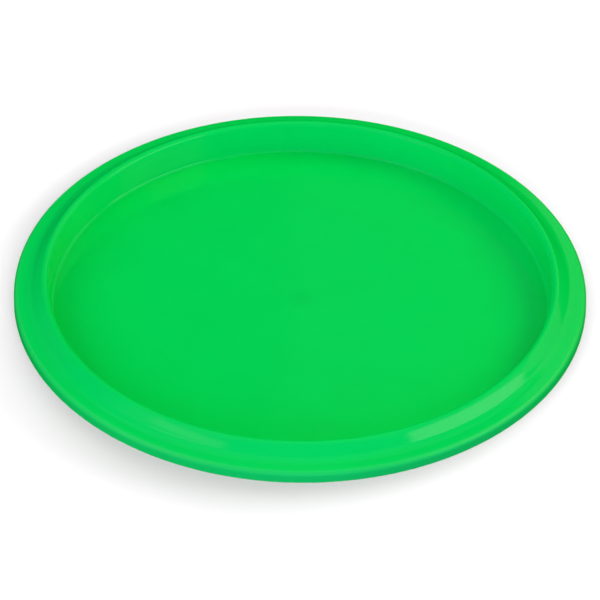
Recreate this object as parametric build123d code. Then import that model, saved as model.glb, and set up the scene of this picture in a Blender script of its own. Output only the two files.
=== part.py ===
from build123d import *
from math import copysign, cos, radians, sin, tan
import os

# A shallow round pan, moulded in one shot. One wall of constant thickness runs from the centre of
# the flat floor, up the inner wall, over the crest and down the S of the rim to a turned-down lip.
# A foot ring and the gate stub stand under the floor, and the foot ring is what the pan rests on.
# The origin is the centre of that resting plane; +Z is up, along the axis of the pan.

# ---- Driving dimensions: millimetres and degrees -------------------------------------------------

OVERALL_DIAMETER = 356.0     # across the lip, before its edges are chamfered
WALL = 2.2                   # thickness of the moulding, floor to lip

WELL_DEPTH = 21.7            # top of the floor to the top of the crest
WELL_DRAFT = 2.0             # lean of the inner wall, which lets the mould's core out
FLOOR_CORNER_RADIUS = 2.4    # floor into inner wall, on the top face

CREST_RADIUS = 2.8           # from the inner wall over the top and down to the shoulder
SHOULDER_SLOPE = 37.0        # fall of the rim where the shoulder leaves the crest
SHOULDER_RADIUS = 53.0       # the shoulder's gentle crown, the upper curve of the S
STEP_SLOPE = 44.0            # steepest fall, where the S turns over
STEP_FOOT_RADIUS = 9.7       # lower curve of the S, out on to the flange
FLANGE_LENGTH = 3.7          # flat outer band of the rim
FLANGE_SLOPE = 6.0           # its fall towards the lip
LIP_RADIUS = 3.2             # outer edge, from the flange down to the skirt
LIP_SKIRT = 4.5              # straight stretch of the turned-down lip
LIP_DRAFT = 2.0              # outward lean of that skirt
LIP_CHAMFER = 0.4            # both edges of the lip's flat end

FOOT_HEIGHT = 2.0            # resting face below the underside of the floor
FOOT_WIDTH = 2.6             # across the resting face, before its edges are chamfered
FOOT_DRAFT = 5.0             # lean of both sides
FOOT_INSET = 5.0             # from the floor's corner in to the foot ring
FOOT_CHAMFER = 0.4           # edges of the resting face

GATE_DIAMETER = 3.2          # stub where the plastic entered, under the centre of the floor
GATE_HEIGHT = 0.8
GATE_DRAFT = 15.0

UPRIGHT = 90.0               # heading of a wall with no draft

# ---- The rim as a chain of straights and bends ---------------------------------------------------


def bend_reach(heading, turn, radius):
    """Outward and upward travel along a bend that starts at a heading and turns by an angle."""
    start, end = radians(heading), radians(heading + turn)
    side = copysign(radius, turn)
    return side * (sin(end) - sin(start)), side * (cos(start) - cos(end))


def rim_width(rim):
    """Outward travel along a chain of (straight, turn, radius) runs that starts level."""
    width = heading = 0.0
    for straight, turn, radius in rim:
        width += straight * cos(radians(heading)) + bend_reach(heading, turn, radius)[0]
        heading += turn
    return width


def rim_chain():
    """Each straight of the rim with the bend that ends it, from the floor's corner to the lip."""
    wall_heading = UPRIGHT - WELL_DRAFT
    corner_rise = bend_reach(0, wall_heading, FLOOR_CORNER_RADIUS)[1]
    crest_rise = bend_reach(wall_heading, -wall_heading, CREST_RADIUS)[1]
    wall_length = (WELL_DEPTH - corner_rise - crest_rise) / sin(radians(wall_heading))
    return [
        (0, wall_heading, FLOOR_CORNER_RADIUS),
        (wall_length, -wall_heading - SHOULDER_SLOPE, CREST_RADIUS),
        (0, SHOULDER_SLOPE - STEP_SLOPE, SHOULDER_RADIUS),
        (0, STEP_SLOPE - FLANGE_SLOPE, STEP_FOOT_RADIUS),
        (FLANGE_LENGTH, FLANGE_SLOPE + LIP_DRAFT - UPRIGHT, LIP_RADIUS),
        (LIP_SKIRT, 0, LIP_RADIUS),
    ]


def rim_face(rim, corner, depth):
    """Edges of one face of the rim: the runs of its top face, moved down by a depth.

    A bend keeps its centre, so its radius grows or shrinks by the depth and the wall stays even.
    """
    edges = []
    here = Vector(*corner) - Vector(0, depth)
    heading = 0.0
    for straight, turn, top_radius in rim:
        ahead = Vector(cos(radians(heading)), sin(radians(heading)))
        if straight:
            edges.append(Line(here, here + ahead * straight))
            here = edges[-1] @ 1
        if turn:
            edges.append(JernArc(here, ahead, top_radius + copysign(depth, turn), turn))
            here = edges[-1] @ 1
            heading += turn
    return edges


# ---- The floor's underside -----------------------------------------------------------------------


def floor_underside(floor_radius, level):
    """Underside of the floor from the axis to the corner, with the gate stub and the foot ring."""
    gate_out = GATE_DIAMETER / 2
    gate_lean = GATE_HEIGHT * tan(radians(GATE_DRAFT))
    foot_out = floor_radius - FOOT_INSET
    foot_in = foot_out - FOOT_WIDTH
    foot_lean = FOOT_HEIGHT * tan(radians(FOOT_DRAFT))
    return Polyline(
        (0, level - GATE_HEIGHT),
        (gate_out, level - GATE_HEIGHT),
        (gate_out + gate_lean, level),
        (foot_in - foot_lean, level),
        (foot_in, level - FOOT_HEIGHT),
        (foot_out, level - FOOT_HEIGHT),
        (foot_out + foot_lean, level),
        (floor_radius, level),
    )


# ---- The moulding --------------------------------------------------------------------------------


def make_pan_body():
    """The whole moulding, turned about its axis from one closed half section."""
    rim = rim_chain()
    floor_radius = OVERALL_DIAMETER / 2 - rim_width(rim)
    floor_top = FOOT_HEIGHT + WALL
    corner = (floor_radius, floor_top)

    floor = Line((0, floor_top), corner)
    top = rim_face(rim, corner, 0)
    underside = rim_face(rim, corner, WALL)
    lip_end = Line(top[-1] @ 1, underside[-1] @ 1)
    below = floor_underside(floor_radius, FOOT_HEIGHT)
    axis_edge = Line(below @ 0, floor @ 0)
    section = make_face([floor, *top, lip_end, *underside, *below.edges(), axis_edge])

    lip_corners = [section.vertices().sort_by_distance(lip_end @ side)[0] for side in (0, 1)]
    section = chamfer(lip_corners, LIP_CHAMFER)
    section = chamfer(section.vertices().group_by(Axis.Y)[0], FOOT_CHAMFER)
    return revolve(Plane.XZ * section, Axis.Z)


# ---- Output --------------------------------------------------------------------------------------

os.makedirs("parts", exist_ok=True)

pan_body = make_pan_body()
pan_body.label = "pan_body"
export_step(pan_body, "parts/pan_body.step")
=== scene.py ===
from math import ceil, copysign, cos, pi, radians, sin, tan

import bpy
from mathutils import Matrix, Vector


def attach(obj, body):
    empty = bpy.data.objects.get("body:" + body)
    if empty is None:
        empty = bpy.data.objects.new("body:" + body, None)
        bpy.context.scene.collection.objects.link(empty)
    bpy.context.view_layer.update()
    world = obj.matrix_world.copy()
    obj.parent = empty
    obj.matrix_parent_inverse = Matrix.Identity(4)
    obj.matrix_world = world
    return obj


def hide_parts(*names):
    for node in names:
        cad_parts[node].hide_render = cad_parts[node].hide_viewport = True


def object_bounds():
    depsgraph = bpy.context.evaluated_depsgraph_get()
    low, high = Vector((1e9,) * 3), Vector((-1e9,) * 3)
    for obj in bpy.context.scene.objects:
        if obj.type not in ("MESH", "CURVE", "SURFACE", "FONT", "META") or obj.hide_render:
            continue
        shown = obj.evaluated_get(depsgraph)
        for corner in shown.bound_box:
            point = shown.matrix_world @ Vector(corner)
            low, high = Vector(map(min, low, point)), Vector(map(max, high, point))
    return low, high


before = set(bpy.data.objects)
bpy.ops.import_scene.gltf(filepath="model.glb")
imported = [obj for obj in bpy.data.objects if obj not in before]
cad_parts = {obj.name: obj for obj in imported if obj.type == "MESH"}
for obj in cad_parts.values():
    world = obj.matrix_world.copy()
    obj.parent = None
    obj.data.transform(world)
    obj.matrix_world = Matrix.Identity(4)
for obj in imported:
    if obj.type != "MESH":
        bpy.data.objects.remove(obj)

CAD_LOW, CAD_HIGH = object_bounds()
MM = 0.001
scene = bpy.context.scene

# ---- Sizes of the moulding, as in the part's source: millimetres and degrees ---------------------

OVERALL_DIAMETER = 356.0
WALL = 2.2
WELL_DEPTH = 21.7
WELL_DRAFT = 2.0
FLOOR_CORNER_RADIUS = 2.4
CREST_RADIUS = 2.8
SHOULDER_SLOPE = 37.0
SHOULDER_RADIUS = 53.0
STEP_SLOPE = 44.0
STEP_FOOT_RADIUS = 9.7
FLANGE_LENGTH = 3.7
FLANGE_SLOPE = 6.0
LIP_RADIUS = 3.2
LIP_SKIRT = 4.5
LIP_DRAFT = 2.0
FOOT_HEIGHT = 2.0
FOOT_WIDTH = 2.6
FOOT_DRAFT = 5.0
FOOT_INSET = 5.0
GATE_DIAMETER = 3.2
GATE_HEIGHT = 0.8
GATE_DRAFT = 15.0
UPRIGHT = 90.0

EDGE_RADIUS = 0.5            # where the source has small chamfers, the moulded edges are round
ROOT_RADIUS = 0.6            # where the foot ring and the gate stub leave the floor

SEGMENTS = 360               # steps around the axis
BEND_STEP = 5.0              # most degrees between two rings of a bend
EDGE_STEP = 15.0             # the same for bends as tight as the edges and roots
STRAIGHT_STEP = 6.0          # most millimetres between two rings of a straight


# ---- The half section, drawn as a pen would ------------------------------------------------------


class Outline:
    """Points of a half section, each (radius, height, heading).

    The material is on the pen's right, and a heading is in degrees: 0 is outwards, 90 is up.
    """

    def __init__(self, radius, height):
        self.points = [(radius, height, 0.0)]
        self.heading = 0.0

    def straight(self, length):
        radius, height, _ = self.points[-1]
        ahead = (cos(radians(self.heading)), sin(radians(self.heading)))
        count = ceil(length / STRAIGHT_STEP)
        for k in range(1, count + 1):
            along = length * k / count
            self.points.append((radius + ahead[0] * along, height + ahead[1] * along, self.heading))

    def bend(self, turn, bend_radius):
        radius, height, _ = self.points[-1]
        side = copysign(bend_radius, turn)
        first = radians(self.heading)
        step = BEND_STEP if bend_radius > ROOT_RADIUS else EDGE_STEP
        count = ceil(abs(turn) / step)
        for k in range(1, count + 1):
            now = first + radians(turn) * k / count
            self.points.append((
                radius + side * (sin(now) - sin(first)),
                height + side * (cos(first) - cos(now)),
                self.heading + turn * k / count,
            ))
        self.heading += turn

    def corners(self, runs):
        """Straights given from corner to corner, each with the rounded corner that ends it."""
        used = 0.0
        for length, turn, corner_radius in runs:
            reach = corner_radius * tan(radians(abs(turn) / 2))
            self.straight(length - used - reach)
            self.bend(turn, corner_radius)
            used = reach


def rim_chain():
    """Each straight of the rim with the bend that ends it, from the floor's corner to the skirt."""
    wall_heading = UPRIGHT - WELL_DRAFT
    bends_rise = (FLOOR_CORNER_RADIUS + CREST_RADIUS) * (1 - cos(radians(wall_heading)))
    wall_length = (WELL_DEPTH - bends_rise) / sin(radians(wall_heading))
    return [
        (0, wall_heading, FLOOR_CORNER_RADIUS),
        (wall_length, -wall_heading - SHOULDER_SLOPE, CREST_RADIUS),
        (0, SHOULDER_SLOPE - STEP_SLOPE, SHOULDER_RADIUS),
        (0, STEP_SLOPE - FLANGE_SLOPE, STEP_FOOT_RADIUS),
        (FLANGE_LENGTH, FLANGE_SLOPE + LIP_DRAFT - UPRIGHT, LIP_RADIUS),
    ]


def floor_radius():
    """Where the floor ends, so that the lip comes out at the overall diameter."""
    rim = Outline(0, 0)
    for straight, turn, radius in rim_chain():
        rim.straight(straight)
        rim.bend(turn, radius)
    rim.straight(LIP_SKIRT)
    return OVERALL_DIAMETER / 2 - rim.points[-1][0]


def pan_outline():
    """The whole half section: over the top face to the lip, and back underneath to the axis."""
    edge = floor_radius()
    pen = Outline(0, FOOT_HEIGHT + WALL)
    pen.straight(edge)
    for straight, turn, radius in rim_chain():
        pen.straight(straight)
        pen.bend(turn, radius)

    pen.corners([
        (LIP_SKIRT, -UPRIGHT, EDGE_RADIUS),
        (WALL, -UPRIGHT, EDGE_RADIUS),
        (LIP_SKIRT, 0, 0),
    ])
    for straight, turn, radius in reversed(rim_chain()):
        pen.bend(-turn, radius + copysign(WALL, turn))
        pen.straight(straight)

    lean = FOOT_HEIGHT * tan(radians(FOOT_DRAFT))
    side = FOOT_HEIGHT / cos(radians(FOOT_DRAFT))
    down = UPRIGHT - FOOT_DRAFT
    gate_lean = GATE_HEIGHT * tan(radians(GATE_DRAFT))
    gate_side = GATE_HEIGHT / cos(radians(GATE_DRAFT))
    gate_down = UPRIGHT - GATE_DRAFT
    foot_in = edge - FOOT_INSET - FOOT_WIDTH
    pen.corners([
        (FOOT_INSET - lean, down, ROOT_RADIUS),
        (side, -down, EDGE_RADIUS),
        (FOOT_WIDTH, -down, EDGE_RADIUS),
        (side, down, ROOT_RADIUS),
        (foot_in - lean - GATE_DIAMETER / 2 - gate_lean, gate_down, ROOT_RADIUS / 2),
        (gate_side, -gate_down, EDGE_RADIUS / 2),
        (GATE_DIAMETER / 2, 0, 0),
    ])
    return pen.points


# ---- The piece -----------------------------------------------------------------------------------


def lathe(name, outline):
    """A mesh turned about the axis, with the outline's own normals, so gloss shows no facets."""
    vertices, normals, faces = [], [], []
    rings = outline[1:-1]
    for k in range(SEGMENTS):
        turn = 2 * pi * k / SEGMENTS
        for radius, height, heading in rings:
            lean = -sin(radians(heading))
            vertices.append((radius * MM * cos(turn), radius * MM * sin(turn), height * MM))
            normals.append((lean * cos(turn), lean * sin(turn), cos(radians(heading))))
    for _, height, heading in (outline[0], outline[-1]):
        vertices.append((0, 0, height * MM))
        normals.append((0, 0, cos(radians(heading))))

    count = len(rings)
    top, bottom = SEGMENTS * count, SEGMENTS * count + 1
    for k in range(SEGMENTS):
        here, there = k * count, (k + 1) % SEGMENTS * count
        faces.append((top, here, there))
        for r in range(count - 1):
            faces.append((here + r, here + r + 1, there + r + 1, there + r))
        faces.append((bottom, there + count - 1, here + count - 1))

    mesh = bpy.data.meshes.new(name)
    mesh.from_pydata(vertices, [], faces)
    mesh.shade_smooth()
    mesh.normals_split_custom_set_from_vertices([Vector(n).normalized() for n in normals])
    piece = bpy.data.objects.new(name, mesh)
    scene.collection.objects.link(piece)
    return piece


# ---- Materials -----------------------------------------------------------------------------------

# Colours are linear, a scale is the noise's waves to the metre, and a reach is from the origin.
GREEN = (0.0003, 0.845, 0.15, 1)
GREEN_CLOUD = (0.0003, 0.875, 0.158, 1)      # its lighter patches
CLOUD_SCALE = 22.0

GREEN_GATE = (0.0003, 0.825, 0.15, 1)        # the faint mark over the gate
GATE_MARK_REACH = 4.5 * MM                   # where the mark starts to fade
GATE_MARK_END = 11 * MM

GLOSS_ROUGHNESS = (0.09, 0.13)               # lowest and highest
HAZE_SCALE = 60.0                            # how it varies
LIP_ROUGHNESS = 0.38
LIP_DULL_REACH = 175.6 * MM                  # where the lip starts to be duller
LIP_DULL_END = 177.2 * MM

WAVE_SCALE = 14.0                            # the surface's faint waves
WAVE_HEIGHT = 0.6 * MM
GRAIN_SCALE = 900.0                          # and its grain
GRAIN_HEIGHT = 0.01 * MM

PAPER_LIT = (0.12, 0.12, 0.12, 1)            # what the paper gives back to the pan
PAPER_SEEN = (0.88, 0.86, 0.875, 1)          # what it shows the camera
PAPER_ROUGHNESS = 0.9


def new_material(name):
    material = bpy.data.materials.new(name)
    material.use_nodes = True
    nodes = material.node_tree.nodes
    return material, nodes, material.node_tree.links, nodes["Principled BSDF"]


def noise(nodes, links, place, scale, detail):
    """A noise texture in the object's own metres."""
    texture = nodes.new("ShaderNodeTexNoise")
    texture.inputs["Scale"].default_value = scale
    texture.inputs["Detail"].default_value = detail
    links.new(place.outputs["Object"], texture.inputs["Vector"])
    return texture.outputs["Fac"]


def ramp(nodes, links, value, low, high, start=0.3, end=0.7):
    """Turns a value into a number between low and high. Noise mostly lies between 0.3 and 0.7."""
    turned = nodes.new("ShaderNodeMapRange")
    turned.inputs["From Min"].default_value = start
    turned.inputs["From Max"].default_value = end
    turned.inputs["To Min"].default_value = low
    turned.inputs["To Max"].default_value = high
    links.new(value, turned.inputs["Value"])
    return turned.outputs["Result"]


def mix(nodes, links, factor, kind="RGBA"):
    """A node that goes from its input A to its input B as the factor goes from 0 to 1."""
    node = nodes.new("ShaderNodeMix")
    node.data_type = kind
    links.new(factor, node.inputs["Factor"])
    return node


def bump(nodes, links, height, distance, strength):
    node = nodes.new("ShaderNodeBump")
    node.inputs["Strength"].default_value = strength
    node.inputs["Distance"].default_value = distance
    links.new(height, node.inputs["Height"])
    return node


def green_plastic():
    """Bright green polypropylene with a smooth gloss.

    Its colour is slightly cloudy and a little darker over the gate. The outer lip, which is handled
    most, is duller, and faint waves come from shrinkage.
    """
    material, nodes, links, shader = new_material("green_plastic_moulded")
    place = nodes.new("ShaderNodeTexCoord")
    length = nodes.new("ShaderNodeVectorMath")
    length.operation = "LENGTH"
    links.new(place.outputs["Object"], length.inputs[0])
    reach = length.outputs["Value"]

    cloud = noise(nodes, links, place, CLOUD_SCALE, detail=3.0)
    colour = mix(nodes, links, ramp(nodes, links, cloud, 0.0, 1.0))
    colour.inputs["A"].default_value = GREEN
    colour.inputs["B"].default_value = GREEN_CLOUD
    off_gate = ramp(nodes, links, reach, 0.0, 1.0, start=GATE_MARK_REACH, end=GATE_MARK_END)
    blush = mix(nodes, links, off_gate)
    blush.inputs["A"].default_value = GREEN_GATE
    links.new(colour.outputs["Result"], blush.inputs["B"])
    links.new(blush.outputs["Result"], shader.inputs["Base Color"])

    haze = noise(nodes, links, place, HAZE_SCALE, detail=4.0)
    on_lip = ramp(nodes, links, reach, 0.0, 1.0, start=LIP_DULL_REACH, end=LIP_DULL_END)
    dull = mix(nodes, links, on_lip, kind="FLOAT")
    links.new(ramp(nodes, links, haze, *GLOSS_ROUGHNESS), dull.inputs["A"])
    dull.inputs["B"].default_value = LIP_ROUGHNESS
    links.new(dull.outputs["Result"], shader.inputs["Roughness"])
    shader.inputs["Specular IOR Level"].default_value = 0.5

    wave = noise(nodes, links, place, WAVE_SCALE, detail=1.0)
    grain = noise(nodes, links, place, GRAIN_SCALE, detail=2.0)
    waves = bump(nodes, links, wave, WAVE_HEIGHT, strength=0.35)
    skin = bump(nodes, links, grain, GRAIN_HEIGHT, strength=0.25)
    links.new(waves.outputs["Normal"], skin.inputs["Normal"])
    links.new(skin.outputs["Normal"], shader.inputs["Normal"])
    return material


def pale_floor():
    """White paper to the camera. It gives back little light, so the rim isn't lit from below."""
    material, nodes, links, shader = new_material("pale_floor")
    seen = nodes.new("ShaderNodeLightPath")
    colour = mix(nodes, links, seen.outputs["Is Camera Ray"])
    colour.inputs["A"].default_value = PAPER_LIT
    colour.inputs["B"].default_value = PAPER_SEEN
    links.new(colour.outputs["Result"], shader.inputs["Base Color"])
    shader.inputs["Roughness"].default_value = PAPER_ROUGHNESS
    shader.inputs["Specular IOR Level"].default_value = 0.0
    return material


# ---- The pan -------------------------------------------------------------------------------------

pan = lathe("pan_moulding", pan_outline())
pan.data.materials.append(green_plastic())
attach(pan, "root")
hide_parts("pan_body")

# ---- Floor ---------------------------------------------------------------------------------------

FLOOR_REACH = 6.0            # metres from the middle to each side
SQUARE = ((-1, -1), (1, -1), (1, 1), (-1, 1))

floor_corners = [(x * FLOOR_REACH, y * FLOOR_REACH, CAD_LOW.z) for x, y in SQUARE]
floor_mesh = bpy.data.meshes.new("pale_floor")
floor_mesh.from_pydata(floor_corners, [], [(0, 1, 2, 3)])
floor = bpy.data.objects.new("pale_floor", floor_mesh)
scene.collection.objects.link(floor)
floor_mesh.materials.append(pale_floor())
floor.visible_glossy = False

# ---- Lights --------------------------------------------------------------------------------------

CENTRE = Vector((0, 0, 0.5 * (CAD_LOW.z + CAD_HIGH.z)))
LIGHT_DISTANCE = 2.0         # metres from the pan

WHITE = (1, 1, 1)
WARM = (1, 1, 0.2)
COOL = (0.54, 0.54, 1)
PALE_COOL = (0.85, 0.85, 1)


def only(name, lit):
    """A collection of one object, for the lights that fall on nothing else."""
    collection = bpy.data.collections.new(name)
    collection.objects.link(lit)
    return collection


def softbox(name, receiver, azimuth, elevation, wide, high, radiance,
            tilt=0.0, colour=WHITE, matt=True, gloss=True):
    """A rectangular light that faces the pan. Its place and its size are angles seen from the pan.

    Azimuth turns from the pan's right over its back, and tilt lifts the end of the light that lies
    further round. A light that isn't matt only shows in reflections, and one that isn't gloss shows
    in none.
    """
    data = bpy.data.lights.new(name, "AREA")
    data.shape = "RECTANGLE"
    data.size = 2 * LIGHT_DISTANCE * tan(radians(wide / 2))
    data.size_y = 2 * LIGHT_DISTANCE * tan(radians(high / 2))
    data.energy = radiance * pi * data.size * data.size_y
    data.color = colour
    light = bpy.data.objects.new(name, data)
    away = Vector((
        cos(radians(elevation)) * cos(radians(azimuth)),
        cos(radians(elevation)) * sin(radians(azimuth)),
        sin(radians(elevation)),
    ))
    light.location = CENTRE + away * LIGHT_DISTANCE
    light.rotation_euler = away.to_track_quat("Z", "Y").to_euler()
    light.rotation_euler.rotate_axis("Z", radians(tilt))
    light.visible_glossy = gloss
    light.visible_diffuse = matt
    light.light_linking.receiver_collection = receiver
    scene.collection.objects.link(light)


pan_only = only("pan_only", pan)
paper_only = only("paper_only", floor)


def fill(name, azimuth, elevation, radiance, size=30, colour=WHITE):
    """A square matt light on the pan alone."""
    softbox(name, pan_only, azimuth, elevation, size, size, radiance, colour=colour, gloss=False)


def paper_light(name, azimuth, wide, radiance):
    """A low matt light on the paper alone."""
    softbox(name, paper_only, azimuth, elevation=15, wide=wide, high=30, radiance=radiance,
            gloss=False)


# Warm from the sides, white from low on the left, cool from the back left and from low in front.
fill("fill_right", azimuth=0, elevation=40, radiance=1.4, colour=WARM)
fill("fill_right_back", azimuth=28, elevation=36, radiance=3.0, colour=WARM)
fill("fill_left_back", azimuth=145, elevation=30, radiance=1.55, colour=PALE_COOL)
fill("fill_left", azimuth=210, elevation=40, radiance=1.65, colour=WARM)
fill("fill_left_low", azimuth=215, elevation=12, radiance=1.1, size=24)
fill("fill_front_low", azimuth=270, elevation=15, radiance=5.4, colour=COOL)

# What the gloss shows.
softbox("key", pan_only, azimuth=-15.4, elevation=33.2, wide=43.5, high=21.5, radiance=1.13,
        tilt=-29.6, matt=False)
softbox("second", pan_only, azimuth=220, elevation=46.3, wide=23, high=8, radiance=0.42,
        tilt=6.3, matt=False)
softbox("right_wall", pan_only, azimuth=43.6, elevation=28.5, wide=54, high=29, radiance=0.22,
        tilt=22.3, matt=False)
softbox("back_card", pan_only, azimuth=84.5, elevation=37, wide=10, high=22, radiance=0.028,
        matt=False)
softbox("ceiling", pan_only, azimuth=90, elevation=88, wide=60, high=60, radiance=0.09,
        matt=False)

# The paper is lit to white by lights of its own, as for a cut-out picture.
paper_light("paper_right", azimuth=15, wide=60, radiance=7.7)
paper_light("paper_back", azimuth=100, wide=90, radiance=5.7)
paper_light("paper_front", azimuth=262, wide=45, radiance=15.5)

# ---- Sky -----------------------------------------------------------------------------------------

SKY_LIGHT = 0.35             # strength of the white sky as a light
SKY_SEEN = 1.0               # and as the camera sees it

world = bpy.data.worlds.new("studio")
scene.world = world
world.use_nodes = True
world_nodes, world_links = world.node_tree.nodes, world.node_tree.links
sky = world_nodes["Background"]
sky.inputs["Color"].default_value = (*WHITE, 1)
camera_ray = world_nodes.new("ShaderNodeLightPath").outputs["Is Camera Ray"]
strength = ramp(world_nodes, world_links, camera_ray, SKY_LIGHT, SKY_SEEN, start=0, end=1)
world_links.new(strength, sky.inputs["Strength"])
world.cycles_visibility.glossy = False

# ---- Camera --------------------------------------------------------------------------------------

scene.view_settings.view_transform = "Standard"

ELEVATION = 38.875           # degrees above the floor
DISTANCE = 1.953             # from the middle of the lip
AIM_BELOW = 0.186            # degrees: the pan sits a little above the middle of the picture
ROLL = 0.744                 # degrees, clockwise in the picture
LENS = 187.9                 # millimetres, on a sensor of the width below
SENSOR_WIDTH = 36.0
LIP_LEVEL = 10.95 * MM       # about where the lip is widest

lip_centre = Vector((0, 0, LIP_LEVEL))
camera_data = bpy.data.cameras.new("camera")
camera_data.lens = LENS
camera_data.sensor_width = SENSOR_WIDTH
camera = bpy.data.objects.new("camera", camera_data)
towards = Vector((0, -cos(radians(ELEVATION)), sin(radians(ELEVATION))))
camera.location = lip_centre + DISTANCE * towards
camera.rotation_euler = (radians(90 - ELEVATION - AIM_BELOW), 0, 0)
camera.rotation_euler.rotate_axis("Z", radians(ROLL))
scene.collection.objects.link(camera)
scene.camera = camera
